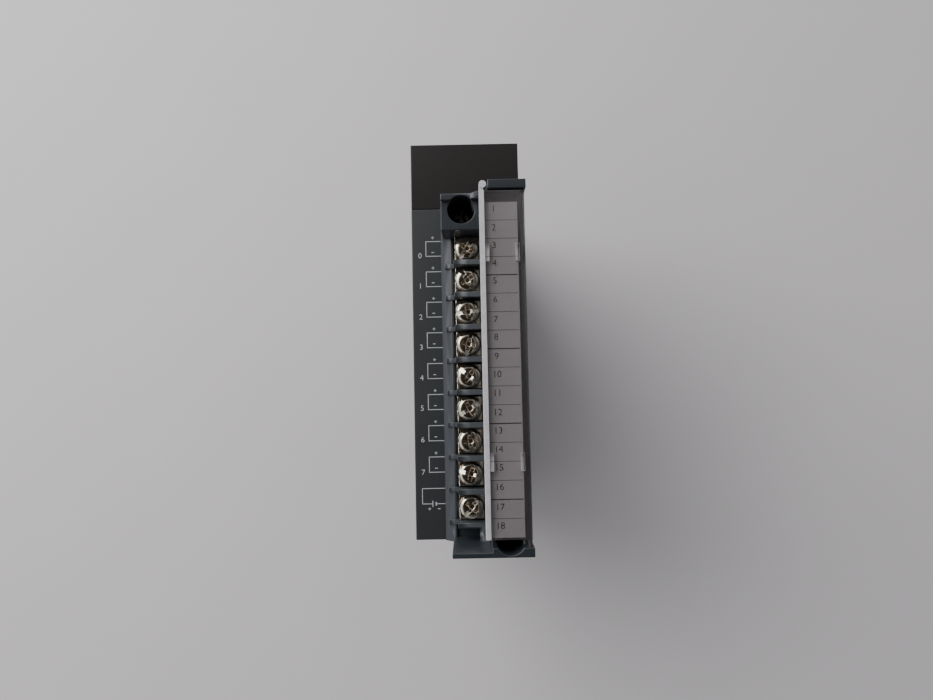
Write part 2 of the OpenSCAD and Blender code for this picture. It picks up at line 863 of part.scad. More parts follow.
// Small hook under a window of the door, which the card slides behind
module card_hooks(y) {
    y0 = y - window_l / 2;
    y1 = y + window_l / 2;
    slab([door_left + 0.5, y0, hook_z], [card_left + 1.2, y1, hook_z + hook_t]);
    slab([card_right - 1.2, y0, hook_z], [axis_x - 0.5, y1, hook_z + hook_t]);
    slab([card_right + snug, y0, hook_z], [axis_x - 0.5, y1, axis_z]);
}

module label_door() {
    color("#8d8b8a", 0.5)
    difference() {
        union() {
            slab([door_left, door_bottom, door_z - door_t], [axis_x, door_top, door_z]);
            slab([door_left, door_bottom, lip_z], [door_left + lip_w, door_top, door_z - 0.2]);
            rod_y(door_bottom, door_top, axis_x, axis_z, barrel_r);
            rod_y(door_bottom - 2.9, door_top + 1.6, axis_x, axis_z, pivot_r);
            // Round catch at the free corner
            slab([door_left, door_top - over, lip_z], [door_left + lip_w, catch_place[1], door_z]);
            rod_z(lip_z, top_z - 0.1, catch_place, catch_r);
            for (y = window_ys) {
                card_hooks(y);
            }
        }
        for (y = window_ys) {
            for (x = [card_left + 0.1, card_right - window_w + 0.2]) {
                slab([x, y - window_l / 2, door_z - door_t - 0.1],
                     [x + window_w, y + window_l / 2, door_z + over]);
            }
        }
    }
}

module label_card() {
    color("white")
    slab([card_left, door_bottom + 0.3, card_z - card_t], [card_right, door_top - 2.4, card_z]);
}

rear_case();
front_case();
lamp_cover();
light_guide();
nameplate();
threaded_inserts();
latch_hook();
latch_pin();
latch_spring();
main_board();
output_board();
board_spacers();
board_screws();
board_link();
bus_connector();
bus_contacts();
block_socket();
socket_contacts();
processor_chip();
output_chips();
isolator_chips();
capacitors();
transformer_core();
transformer_coil();
status_lamp();
block_housing();
lower_terminals();
upper_terminals();
lower_clamps();
upper_clamps();
lower_screws();
upper_screws();
screw_retainers();
upper_fixing_screw();
lower_fixing_screw();
label_door();
label_card();
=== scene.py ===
from math import radians

import bmesh
import bpy
from mathutils import Matrix, Vector


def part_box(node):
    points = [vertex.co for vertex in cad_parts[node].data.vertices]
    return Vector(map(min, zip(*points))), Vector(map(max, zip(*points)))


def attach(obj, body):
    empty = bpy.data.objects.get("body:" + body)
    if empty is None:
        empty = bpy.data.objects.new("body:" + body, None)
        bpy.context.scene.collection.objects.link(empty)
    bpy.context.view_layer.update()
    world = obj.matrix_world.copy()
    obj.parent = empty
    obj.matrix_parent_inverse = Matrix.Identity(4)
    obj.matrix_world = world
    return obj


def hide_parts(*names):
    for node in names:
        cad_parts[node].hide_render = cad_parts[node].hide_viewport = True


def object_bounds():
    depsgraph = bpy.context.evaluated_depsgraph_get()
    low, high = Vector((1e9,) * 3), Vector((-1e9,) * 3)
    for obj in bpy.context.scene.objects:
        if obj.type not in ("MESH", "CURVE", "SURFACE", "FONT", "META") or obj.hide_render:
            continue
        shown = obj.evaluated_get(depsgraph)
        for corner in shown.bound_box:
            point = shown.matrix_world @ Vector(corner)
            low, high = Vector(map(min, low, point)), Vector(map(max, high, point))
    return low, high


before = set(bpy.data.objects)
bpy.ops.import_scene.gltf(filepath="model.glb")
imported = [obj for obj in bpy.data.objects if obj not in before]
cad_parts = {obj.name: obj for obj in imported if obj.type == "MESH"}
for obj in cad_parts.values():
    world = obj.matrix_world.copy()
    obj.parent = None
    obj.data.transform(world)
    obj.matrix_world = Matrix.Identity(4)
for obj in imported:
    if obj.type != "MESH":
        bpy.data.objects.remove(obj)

cad_low, cad_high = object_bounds()

# ---- Table, camera and light ----
# The module lies on its back on a pale matt table. One wide soft lamp stands at the upper left, and
# the room is brightest on that side. It is darkest nearly straight overhead, behind the camera.
mm = 0.001


def add_node(tree, kind, values=None, **settings):
    node = tree.nodes.new(kind)
    for setting, value in settings.items():
        setattr(node, setting, value)
    for socket, value in (values or {}).items():
        node.inputs[socket].default_value = value
    return node


def new_material(name):
    material = bpy.data.materials.new(name)
    material.use_nodes = True
    return material, material.node_tree, material.node_tree.nodes["Principled BSDF"]


def mottled(name, dark, pale, patch, roughness, grain, depth, metallic=0.0):
    """A finish with soft colour patches, uneven gloss and a fine grain. Sizes are in metres."""
    material, tree, shader = new_material(name)
    shader.inputs["Metallic"].default_value = metallic
    place = add_node(tree, "ShaderNodeTexCoord")
    patches = add_node(tree, "ShaderNodeTexNoise", {"Scale": 1 / patch, "Detail": 4.0})
    colours = add_node(tree, "ShaderNodeMix", data_type="RGBA")
    colours.inputs["A"].default_value = (*dark, 1)
    colours.inputs["B"].default_value = (*pale, 1)
    grains = add_node(tree, "ShaderNodeTexNoise", {"Scale": 1 / grain, "Detail": 3.0})
    gloss = add_node(tree, "ShaderNodeMapRange", {"To Min": roughness[0], "To Max": roughness[1]})
    bump = add_node(tree, "ShaderNodeBump", {"Strength": 1.0, "Distance": depth})
    tree.links.new(place.outputs["Object"], patches.inputs["Vector"])
    tree.links.new(place.outputs["Object"], grains.inputs["Vector"])
    tree.links.new(patches.outputs["Fac"], colours.inputs["Factor"])
    tree.links.new(colours.outputs["Result"], shader.inputs["Base Color"])
    tree.links.new(grains.outputs["Fac"], gloss.inputs["Value"])
    tree.links.new(gloss.outputs["Result"], shader.inputs["Roughness"])
    tree.links.new(grains.outputs["Fac"], bump.inputs["Height"])
    tree.links.new(bump.outputs["Normal"], shader.inputs["Normal"])
    return material


def new_piece(name, mesh):
    piece = bpy.data.objects.new(name, mesh)
    bpy.context.scene.collection.objects.link(piece)
    return piece


table_half = 1.5
table = bmesh.new()
bmesh.ops.create_grid(table, x_segments=1, y_segments=1, size=table_half)
table_mesh = bpy.data.meshes.new("table_top")
table.to_mesh(table_mesh)
table_top = new_piece("table_top", table_mesh)
table_top.location.z = cad_low.z
table_mesh.materials.append(
    mottled("table_paint", (0.60, 0.58, 0.59), (0.63, 0.61, 0.62), 0.05, (0.7, 0.8), 0.4 * mm, 0.01 * mm))

camera_place = Vector((-0.37, -14.69, 263.07)) * mm
camera_tilt = radians(3.867)
camera_roll = radians(-1.155)
lens = bpy.data.cameras.new("camera")
lens.sensor_width = 36
lens.lens = 27.09
lens.clip_start = 0.01
camera = bpy.data.objects.new("camera", lens)
camera_turn = Matrix.Rotation(camera_tilt, 4, "X") @ Matrix.Rotation(camera_roll, 4, "Z")
camera.matrix_world = Matrix.Translation(camera_place) @ camera_turn
bpy.context.scene.collection.objects.link(camera)
bpy.context.scene.camera = camera

lamp_place = Vector((-0.47, 0.40, 0.45))
soft_light = bpy.data.lights.new("window_light", "AREA")
soft_light.size = 0.7
soft_light.energy = 7.1
soft_light.color = (1.0, 0.985, 0.985)
soft_lamp = bpy.data.objects.new("window_light", soft_light)
soft_lamp.location = lamp_place
soft_lamp.rotation_euler = lamp_place.to_track_quat("Z", "Y").to_euler()
bpy.context.scene.collection.objects.link(soft_lamp)

room = bpy.data.worlds.new("room")
room.use_nodes = True
bpy.context.scene.world = room
room_tree = room.node_tree
room_place = add_node(room_tree, "ShaderNodeTexCoord")
room_turn = add_node(room_tree, "ShaderNodeMapping", {"Rotation": (radians(-6), 0, radians(45))})
room_parts = add_node(room_tree, "ShaderNodeSeparateXYZ")
overhead = add_node(room_tree, "ShaderNodeMapRange", {"From Min": 0.70, "From Max": 0.92})
across = add_node(
    room_tree, "ShaderNodeMapRange", {"From Min": -0.8, "From Max": 0.8, "To Min": 1.55, "To Max": 0.12})
room_colours = add_node(room_tree, "ShaderNodeMix", data_type="RGBA")
room_colours.inputs["A"].default_value = (0.80, 0.80, 0.83, 1)
room_colours.inputs["B"].default_value = (0.030, 0.022, 0.016, 1)
room_tree.links.new(room_place.outputs["Generated"], room_turn.inputs["Vector"])
room_tree.links.new(room_turn.outputs["Vector"], room_parts.inputs["Vector"])
room_tree.links.new(room_parts.outputs["Z"], overhead.inputs["Value"])
room_tree.links.new(room_parts.outputs["X"], across.inputs["Value"])
room_tree.links.new(overhead.outputs["Result"], room_colours.inputs["Factor"])
room_tree.links.new(room_colours.outputs["Result"], room_tree.nodes["Background"].inputs["Color"])
room_tree.links.new(across.outputs["Result"], room_tree.nodes["Background"].inputs["Strength"])

# ---- Rear shell ----
# The rear half of the case, moulded in dark grey ABS with a fine spark-eroded grain. It carries the
# cooling slots, the fixed hooks, the latch's pocket and the flange for the fixing screw.


def merged_skin(node):
    """A copy of a CAD node's loose triangles as one closed skin."""
    skin = bmesh.new()
    skin.from_mesh(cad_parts[node].data)
    bmesh.ops.remove_doubles(skin, verts=skin.verts, dist=0.002 * mm)
    return skin


def eased(node, name, edge):
    """A whole CAD node with its outer edges eased as a mould leaves them."""
    return eased_skin(merged_skin(node), name, edge)


def eased_skin(skin, name, edge):
    """A piece from a closed skin, with its flats joined and its outer corners eased."""
    bmesh.ops.dissolve_limit(skin, angle_limit=radians(1), verts=skin.verts, edges=skin.edges)
    outer = [
        e for e in skin.edges
        if len(e.link_faces) == 2 and e.is_convex
        and e.calc_face_angle() > radians(40) and e.calc_length() > 2.5 * edge
    ]
    bmesh.ops.bevel(skin, geom=outer, offset=edge, segments=2, profile=0.6, affect="EDGES")
    bmesh.ops.remove_doubles(skin, verts=skin.verts, dist=0.001 * mm)
    bmesh.ops.recalc_face_normals(skin, faces=skin.faces)
    mesh = bpy.data.meshes.new(name)
    skin.to_mesh(mesh)
    skin.free()
    return shaded(new_piece(name, mesh))


def shaded(piece):
    """Smooth shading across eased edges, with the flat faces kept flat."""
    piece.data.shade_smooth()
    piece.data.set_sharp_from_angle(angle=radians(48))
    weigh = piece.modifiers.new("weighted_normals", "WEIGHTED_NORMAL")
    weigh.keep_sharp = True
    return baked(piece)


def baked(piece):
    """The piece with its modifiers turned into plain mesh."""
    graph = bpy.context.evaluated_depsgraph_get()
    mesh = bpy.data.meshes.new_from_object(piece.evaluated_get(graph))
    mesh.name = piece.name
    piece.modifiers.clear()
    piece.data = mesh
    return piece


def fitted(piece, material, body, slot, *nodes):
    """Gives a finished piece its material, its body and the CAD nodes that it stands for."""
    piece.data.materials.clear()
    piece.data.materials.append(material)
    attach(piece, body)
    if nodes:
        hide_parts(*nodes)
    return piece


case_plastic = mottled(
    "case_plastic", (0.012, 0.0145, 0.0165), (0.018, 0.0205, 0.0225),
    9 * mm, (0.46, 0.58), 0.28 * mm, 0.008 * mm)
shell_edge = 0.25 * mm
fitted(eased("rear_case", "rear_shell", shell_edge), case_plastic, "module_case", "case_plastic", "rear_case")

# ---- Front shell ----
# The front half of the case, from the same mould set. Its tongue snaps into the rear shell, its bay
# takes the terminal block, and the strip beside the bay is pad-printed in white ink.
fitted(
    eased("front_case", "front_shell", shell_edge), case_plastic, "module_case", "case_plastic", "front_case")

ink_height = 0.012 * mm
cap_height = 0.72


def add_block(work, low, high):
    """A closed box between two opposite corners."""
    low, high = Vector(low), Vector(high)
    stretch = Matrix.Diagonal((*(high - low), 1))
    bmesh.ops.create_cube(work, size=1, matrix=Matrix.Translation((low + high) / 2) @ stretch)


def add_numeral(work, text, height, place):
    """A numeral as a thin closed plate, centred on its place."""
    letter = bpy.data.curves.new("numeral", "FONT")
    letter.body = text
    letter.size = height / cap_height
    letter.extrude = ink_height
    letter.resolution_u = 4
    letter.align_x = "CENTER"
    letter.align_y = "CENTER"
    holder = new_piece("numeral", letter)
    graph = bpy.context.evaluated_depsgraph_get()
    mesh = bpy.data.meshes.new_from_object(holder.evaluated_get(graph))
    centre = sum((v.co for v in mesh.vertices), Vector()) / len(mesh.vertices)
    mesh.transform(Matrix.Translation(Vector(place) - Vector((0, centre.y, 0))))
    work.from_mesh(mesh)
    bpy.data.objects.remove(holder)
    bpy.data.curves.remove(letter)
    bpy.data.meshes.remove(mesh)


def printed(work, name):
    """A piece from thin closed plates of ink."""
    bmesh.ops.remove_doubles(work, verts=work.verts, dist=0.0005 * mm)
    bmesh.ops.recalc_face_normals(work, faces=work.faces)
    mesh = bpy.data.meshes.new(name)
    work.to_mesh(mesh)
    work.free()
    return new_piece(name, mesh)


strip_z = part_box("front_case")[1].z
screw_pitch = 7.62 * mm
first_bracket_y = 20.6 * mm
channel_count = 8
# These are in millimetres on the strip.
bracket_left, bracket_right, bracket_h = -10.1, -6.25, 3.7
half_line = 0.09


def add_line(work, x0, x1, y0, y1):
    """A printed line on the strip, from one corner to the other."""
    add_block(work, (x0 * mm, y0 * mm, strip_z - ink_height), (x1 * mm, y1 * mm, strip_z + ink_height))


def add_signs(work, plus, minus):
    """A plus sign and a minus sign, each at its own x and y in millimetres."""
    arm, half_stroke = 0.33, 0.1
    add_line(work, plus[0] - arm, plus[0] + arm, plus[1] - half_stroke, plus[1] + half_stroke)
    add_line(work, plus[0] - half_stroke, plus[0] + half_stroke, plus[1] - arm, plus[1] + arm)
    add_line(work, minus[0] - arm, minus[0] + arm, minus[1] - half_stroke, minus[1] + half_stroke)


def row_tree():
    """Geometry nodes that lay one part in a row, each one turned a step further than the last."""
    tree = bpy.data.node_groups.new("parts_in_a_row", "GeometryNodeTree")
    face = tree.interface
    face.new_socket("Part", in_out="INPUT", socket_type="NodeSocketGeometry")
    face.new_socket("Count", in_out="INPUT", socket_type="NodeSocketInt")
    face.new_socket("First place", in_out="INPUT", socket_type="NodeSocketVector")
    face.new_socket("Step", in_out="INPUT", socket_type="NodeSocketVector")
    face.new_socket("First turn", in_out="INPUT", socket_type="NodeSocketFloat")
    face.new_socket("Turn step", in_out="INPUT", socket_type="NodeSocketFloat")
    face.new_socket("Finish", in_out="INPUT", socket_type="NodeSocketMaterial")
    face.new_socket("Row", in_out="OUTPUT", socket_type="NodeSocketGeometry")
    given = add_node(tree, "NodeGroupInput")
    line = add_node(tree, "GeometryNodeMeshLine", mode="OFFSET")
    index = add_node(tree, "GeometryNodeInputIndex")
    turn = add_node(tree, "ShaderNodeMath", operation="MULTIPLY_ADD")
    spin = add_node(tree, "ShaderNodeCombineXYZ")
    lay = add_node(tree, "GeometryNodeInstanceOnPoints")
    real = add_node(tree, "GeometryNodeRealizeInstances")
    paint = add_node(tree, "GeometryNodeSetMaterial")
    result = add_node(tree, "NodeGroupOutput")
    tree.links.new(given.outputs["Count"], line.inputs["Count"])
    tree.links.new(given.outputs["First place"], line.inputs["Start Location"])
    tree.links.new(given.outputs["Step"], line.inputs["Offset"])
    tree.links.new(index.outputs["Index"], turn.inputs[0])
    tree.links.new(given.outputs["Turn step"], turn.inputs[1])
    tree.links.new(given.outputs["First turn"], turn.inputs[2])
    tree.links.new(turn.outputs["Value"], spin.inputs["Z"])
    tree.links.new(line.outputs["Mesh"], lay.inputs["Points"])
    tree.links.new(given.outputs["Part"], lay.inputs["Instance"])
    tree.links.new(spin.outputs["Vector"], lay.inputs["Rotation"])
    tree.links.new(lay.outputs["Instances"], real.inputs["Geometry"])
    tree.links.new(real.outputs["Geometry"], paint.inputs["Geometry"])
    tree.links.new(given.outputs["Finish"], paint.inputs["Material"])
    tree.links.new(paint.outputs["Geometry"], result.inputs["Row"])
    return tree


def set_inputs(modifier, values):
    """Sets a modifier's named inputs through the sockets' identifiers."""
    for socket in modifier.node_group.interface.items_tree:
        if socket.in_out == "INPUT" and socket.name in values:
            modifier[socket.identifier] = values[socket.name]


parts_in_a_row = row_tree()


def in_a_row(piece, count, first, step, finish, first_turn=0.0, turn_step=0.0):
    """Turns one part, made round the origin, into a row of them as one plain mesh."""
    row = piece.modifiers.new("row", "NODES")
    row.node_group = parts_in_a_row
    set_inputs(row, {
        "Count": count, "First place": first, "Step": step,
        "First turn": first_turn, "Turn step": turn_step, "Finish": finish,
    })
    return baked(piece)


white_ink = mottled(
    "white_ink", (0.33, 0.35, 0.36), (0.48, 0.50, 0.51), 0.5 * mm, (0.4, 0.6), 0.1 * mm, 0.002 * mm)
bracket = bmesh.new()
add_line(bracket, bracket_left, bracket_right, -half_line, half_line)
add_line(bracket, bracket_left, bracket_right, bracket_h - half_line, bracket_h + half_line)
add_line(bracket, bracket_left, bracket_left + 2 * half_line, 0.05, bracket_h - 0.05)
add_signs(bracket, (-8.3, 4.65), (-8.3, 0.95))
brackets = in_a_row(
    printed(bracket, "channel_brackets"), channel_count, (0, first_bracket_y, 0), (0, -screw_pitch, 0),
    white_ink)
fitted(brackets, white_ink, "module_case", "case_plastic")

# The supply's bracket is wider, and its lower line runs through a battery sign of two plates.
supply = bmesh.new()
supply_left = -11.9
supply_y = (first_bracket_y - channel_count * screw_pitch) / mm
supply_top = supply_y + bracket_h
add_line(supply, supply_left, bracket_right, supply_top - half_line, supply_top + half_line)
add_line(supply, supply_left, supply_left + 2 * half_line, supply_y - half_line, supply_top - 0.05)
add_line(supply, supply_left + 0.1, -9.4, supply_y - half_line, supply_y + half_line)
add_line(supply, -9.4, -9.2, supply_y - 0.75, supply_y + 0.75)
add_line(supply, -8.65, -8.3, supply_y - 0.42, supply_y + 0.42)
add_line(supply, -8.35, bracket_right, supply_y - half_line, supply_y + half_line)
add_signs(supply, (-10.1, supply_y - 1.2), (-7.8, supply_y - 1.2))
for channel in range(channel_count):
    y = first_bracket_y - channel * screw_pitch + 0.2 * mm
    add_numeral(supply, str(channel), 1.35 * mm, (-11.5 * mm, y, strip_z))
fitted(printed(supply, "strip_numerals"), white_ink, "module_case", "case_plastic")

# ---- Lamp cover ----
# A brown-black translucent polycarbonate window over the status lamp. It is a press fit by its
# skirt, and its face is polished a little brighter than the case.
lamp_window = mottled(
    "lamp_window", (0.0115, 0.0102, 0.0095), (0.0150, 0.0135, 0.0125),
    12 * mm, (0.24, 0.36), 0.3 * mm, 0.003 * mm)
fitted(
    eased("lamp_cover", "lamp_window", 0.2 * mm), lamp_window, "module_case", "smoked_window", "lamp_cover")

# ---- Rating plate ----
# A blank self-adhesive foil label in the recess of the rear shell's side, brushed along its length.
foil, foil_tree, foil_shader = new_material("brushed_foil")
foil_place = add_node(foil_tree, "ShaderNodeTexCoord")
foil_stretch = add_node(foil_tree, "ShaderNodeMapping", {"Scale": (1.0, 0.03, 1.0)})
foil_brush = add_node(foil_tree, "ShaderNodeTexNoise", {"Scale": 6000.0, "Detail": 2.0})
foil_colours = add_node(foil_tree, "ShaderNodeMix", data_type="RGBA")
foil_colours.inputs["A"].default_value = (0.50, 0.50, 0.51, 1)
foil_colours.inputs["B"].default_value = (0.66, 0.66, 0.67, 1)
foil_gloss = add_node(foil_tree, "ShaderNodeMapRange", {"To Min": 0.32, "To Max": 0.5})
foil_tree.links.new(foil_place.outputs["Object"], foil_stretch.inputs["Vector"])
foil_tree.links.new(foil_stretch.outputs["Vector"], foil_brush.inputs["Vector"])
foil_tree.links.new(foil_brush.outputs["Fac"], foil_colours.inputs["Factor"])
foil_tree.links.new(foil_brush.outputs["Fac"], foil_gloss.inputs["Value"])
foil_tree.links.new(foil_colours.outputs["Result"], foil_shader.inputs["Base Color"])
foil_tree.links.new(foil_gloss.outputs["Result"], foil_shader.inputs["Roughness"])
foil_shader.inputs["Metallic"].default_value = 0.8
fitted(eased("nameplate", "rating_plate", 0.06 * mm), foil, "module_case", "plate_foil", "nameplate")

# ---- Latch ----
# A sprung acetal hook at the upper rear edge. It turns on a steel pin pressed through the case, and
# a torsion spring wound from steel wire on the same pin holds it out.
latch_plastic = mottled(
    "latch_plastic", (0.024, 0.027, 0.030), (0.034, 0.037, 0.041), 6 * mm, (0.35, 0.48), 0.3 * mm, 0.006 * mm)
fitted(eased("latch_hook", "latch_lever", 0.15 * mm), latch_plastic, "latch", "latch_plastic", "latch_hook")

zinc = mottled(
    "zinc_plate", (0.50, 0.51, 0.52), (0.64, 0.65, 0.67), 0.8 * mm, (0.25, 0.42), 0.12 * mm, 0.002 * mm, 1.0)
fitted(eased("latch_pin", "latch_axle", 0.15 * mm), zinc, "module_case", "zinc_steel", "latch_pin")


def wire_tree():
    """Geometry nodes that wind a round wire into a coil about Z, from z = 0 upwards."""
    tree = bpy.data.node_groups.new("wound_wire", "GeometryNodeTree")
    face = tree.interface
    face.new_socket("Part", in_out="INPUT", socket_type="NodeSocketGeometry")
    face.new_socket("Turns", in_out="INPUT", socket_type="NodeSocketFloat")
    face.new_socket("Coil radius", in_out="INPUT", socket_type="NodeSocketFloat")
    face.new_socket("Length", in_out="INPUT", socket_type="NodeSocketFloat")
    face.new_socket("Wire radius", in_out="INPUT", socket_type="NodeSocketFloat")
    face.new_socket("Finish", in_out="INPUT", socket_type="NodeSocketMaterial")
    face.new_socket("Coil", in_out="OUTPUT", socket_type="NodeSocketGeometry")
    given = add_node(tree, "NodeGroupInput")
    spiral = add_node(tree, "GeometryNodeCurveSpiral", {"Resolution": 28})
    section = add_node(tree, "GeometryNodeCurvePrimitiveCircle", {"Resolution": 10})
    sweep = add_node(tree, "GeometryNodeCurveToMesh", {"Fill Caps": True})
    smooth = add_node(tree, "GeometryNodeSetShadeSmooth")
    real = add_node(tree, "GeometryNodeRealizeInstances")
    paint = add_node(tree, "GeometryNodeSetMaterial")
    result = add_node(tree, "NodeGroupOutput")
    tree.links.new(given.outputs["Turns"], spiral.inputs["Rotations"])
    tree.links.new(given.outputs["Coil radius"], spiral.inputs["Start Radius"])
    tree.links.new(given.outputs["Coil radius"], spiral.inputs["End Radius"])
    tree.links.new(given.outputs["Length"], spiral.inputs["Height"])
    tree.links.new(given.outputs["Wire radius"], section.inputs["Radius"])
    tree.links.new(spiral.outputs["Curve"], sweep.inputs["Curve"])
    tree.links.new(section.outputs["Curve"], sweep.inputs["Profile Curve"])
    tree.links.new(sweep.outputs["Mesh"], smooth.inputs["Geometry"])
    tree.links.new(smooth.outputs["Geometry"], real.inputs["Geometry"])
    tree.links.new(real.outputs["Geometry"], paint.inputs["Geometry"])
    tree.links.new(given.outputs["Finish"], paint.inputs["Material"])
    tree.links.new(paint.outputs["Geometry"], result.inputs["Coil"])
    return tree


wound_wire = wire_tree()


def wound(name, turns, coil_radius, length, wire_radius, finish):
    """A coil of round wire about Z as one plain mesh."""
    piece = new_piece(name, bpy.data.meshes.new(name))
    winding = piece.modifiers.new("winding", "NODES")
    winding.node_group = wound_wire
    set_inputs(winding, {
        "Turns": float(turns), "Coil radius": coil_radius, "Length": length,
        "Wire radius": wire_radius, "Finish": finish,
    })
    return baked(piece)


def add_rod(work, start, end, radius):
    """A round bar between two points, with closed ends."""
    start, end = Vector(start), Vector(end)
    turn = (end - start).to_track_quat("Z", "Y").to_matrix().to_4x4()
    place = Matrix.Translation((start + end) / 2) @ turn
    bmesh.ops.create_cone(
        work, cap_ends=True, segments=12, radius1=radius, radius2=radius,
        depth=(end - start).length, matrix=place)


wire_r = 0.25 * mm
coil_r = 1.65 * mm
coil_turns = 4.75
coil_length = 2 * wire_r * (coil_turns - 0.75)
pin_low, pin_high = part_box("latch_pin")
pin_y = (pin_low.y + pin_high.y) / 2
pin_z = (pin_low.z + pin_high.z) / 2
coil_start, coil_end = -coil_length / 2, coil_length / 2
spring = wound("latch_coil", coil_turns, coil_r, coil_length, wire_r, zinc)
spring.data.transform(
    Matrix.Translation((coil_start, pin_y, pin_z)) @ Matrix.Rotation(radians(90), 4, "Y"))
spring_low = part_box("latch_spring")[0]
legs = bmesh.new()
legs.from_mesh(spring.data)
add_rod(legs, (coil_start, spring_low.y, pin_z + coil_r), (coil_start, pin_y, pin_z + coil_r), wire_r)
add_rod(legs, (coil_end, pin_y - coil_r, spring_low.z), (coil_end, pin_y - coil_r, pin_z), wire_r)
legs.to_mesh(spring.data)
legs.free()
fitted(spring, zinc, "module_case", "zinc_steel", "latch_spring")

# ---- Boards ----
# Two glass-epoxy boards stand on edge in the case's rails, joined by three brass spacers and a
# stacking header. The solder mask is green over copper tracks, with tinned pads.


def dressed(node, material):
    """Gives a CAD node whose shape is right its material."""
    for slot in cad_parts[node].material_slots:
        slot.material = material


laminate, board_tree, board_shader = new_material("board_laminate")
board_place = add_node(board_tree, "ShaderNodeTexCoord")
board_turn = add_node(board_tree, "ShaderNodeMapping", {"Rotation": (0, radians(90), 0)})
tracks = add_node(
    board_tree, "ShaderNodeTexBrick",
    {"Scale": 260.0, "Mortar Size": 0.05, "Mortar Smooth": 0.2, "Brick Width": 1.7, "Row Height": 0.32})
tracks.inputs["Color1"].default_value = (0.006, 0.060, 0.022, 1)
tracks.inputs["Color2"].default_value = (0.010, 0.085, 0.030, 1)
tracks.inputs["Mortar"].default_value = (0.022, 0.150, 0.055, 1)
pads = add_node(board_tree, "ShaderNodeTexVoronoi", {"Scale": 420.0, "Randomness": 0.35})
pad_edge = add_node(board_tree, "ShaderNodeMath", operation="LESS_THAN")
pad_edge.inputs[1].default_value = 0.16
pad_colours = add_node(board_tree, "ShaderNodeMix", data_type="RGBA")
pad_colours.inputs["B"].default_value = (0.62, 0.60, 0.56, 1)
board_bump = add_node(board_tree, "ShaderNodeBump", {"Strength": 0.6, "Distance": 0.03 * mm})
board_tree.links.new(board_place.outputs["Object"], board_turn.inputs["Vector"])
board_tree.links.new(board_turn.outputs["Vector"], tracks.inputs["Vector"])
board_tree.links.new(board_place.outputs["Object"], pads.inputs["Vector"])
board_tree.links.new(pads.outputs["Distance"], pad_edge.inputs[0])
board_tree.links.new(pad_edge.outputs["Value"], pad_colours.inputs["Factor"])
board_tree.links.new(tracks.outputs["Color"], pad_colours.inputs["A"])
board_tree.links.new(pad_colours.outputs["Result"], board_shader.inputs["Base Color"])
board_tree.links.new(pad_edge.outputs["Value"], board_shader.inputs["Metallic"])
board_tree.links.new(tracks.outputs["Fac"], board_bump.inputs["Height"])
board_tree.links.new(board_bump.outputs["Normal"], board_shader.inputs["Normal"])
board_shader.inputs["Roughness"].default_value = 0.35
for node in ("main_board", "output_board"):
    dressed(node, laminate)

brass = mottled(
    "brass", (0.60, 0.40, 0.16), (0.76, 0.54, 0.25), 1.5 * mm, (0.22, 0.4), 0.15 * mm, 0.002 * mm, 1.0)
connector_plastic = mottled(
    "connector_plastic", (0.010, 0.010, 0.011), (0.017, 0.017, 0.018),
    3 * mm, (0.38, 0.55), 0.25 * mm, 0.008 * mm)
gold = mottled(
    "gold_contact", (0.78, 0.52, 0.18), (0.93, 0.68, 0.30), 0.7 * mm, (0.16, 0.3), 0.1 * mm, 0.001 * mm, 1.0)
fitted(eased("board_spacers", "spacer_posts", 0.15 * mm), brass, "module_case", "brass", "board_spacers")
fitted(
    eased("board_screws", "board_screw_heads", 0.12 * mm), zinc, "module_case", "zinc_steel", "board_screws")
dressed("board_link", connector_plastic)
dressed("threaded_inserts", brass)

# ---- Parts on the boards ----
# A processor, eight output chips and four isolators in black epoxy resin, three capacitors in
# printed sleeves, a ferrite transformer wound with enamelled copper, and the status lamp.
resin = mottled(
    "chip_resin", (0.008, 0.008, 0.009), (0.016, 0.016, 0.017), 2 * mm, (0.5, 0.7), 0.15 * mm, 0.006 * mm)
for node in ("processor_chip", "output_chips", "isolator_chips"):
    dressed(node, resin)

sleeve = mottled(
    "capacitor_sleeve", (0.012, 0.016, 0.055), (0.022, 0.028, 0.085),
    2 * mm, (0.3, 0.45), 0.3 * mm, 0.004 * mm)
fitted(
    eased("capacitors", "capacitor_cans", 0.12 * mm), sleeve, "module_case", "capacitor_sleeve", "capacitors")

ferrite = mottled(
    "ferrite", (0.016, 0.016, 0.017), (0.030, 0.030, 0.032), 1 * mm, (0.6, 0.8), 0.2 * mm, 0.02 * mm)
fitted(
    eased("transformer_core", "transformer_frame", 0.25 * mm), ferrite,
    "module_case", "ferrite", "transformer_core")

enamel = mottled(
    "copper_enamel", (0.42, 0.13, 0.05), (0.60, 0.22, 0.09), 1 * mm, (0.18, 0.3), 0.3 * mm, 0.002 * mm, 1.0)
winding_low, winding_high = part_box("transformer_coil")
strand_r = 0.3 * mm
winding_length = winding_high.z - winding_low.z - 2 * strand_r
winding = wound(
    "transformer_winding", winding_length / (2.1 * strand_r), (winding_high.x - winding_low.x) / 2 - strand_r,
    winding_length, strand_r, enamel)
winding_centre = (winding_low + winding_high) / 2
winding.data.transform(Matrix.Translation((winding_centre.x, winding_centre.y, winding_low.z + strand_r)))
fitted(winding, enamel, "module_case", "copper_wire", "transformer_coil")

lens_resin = mottled(
    "lamp_lens", (0.16, 0.36, 0.15), (0.24, 0.48, 0.22), 1 * mm, (0.15, 0.25), 0.3 * mm, 0.001 * mm)
dressed("status_lamp", lens_resin)

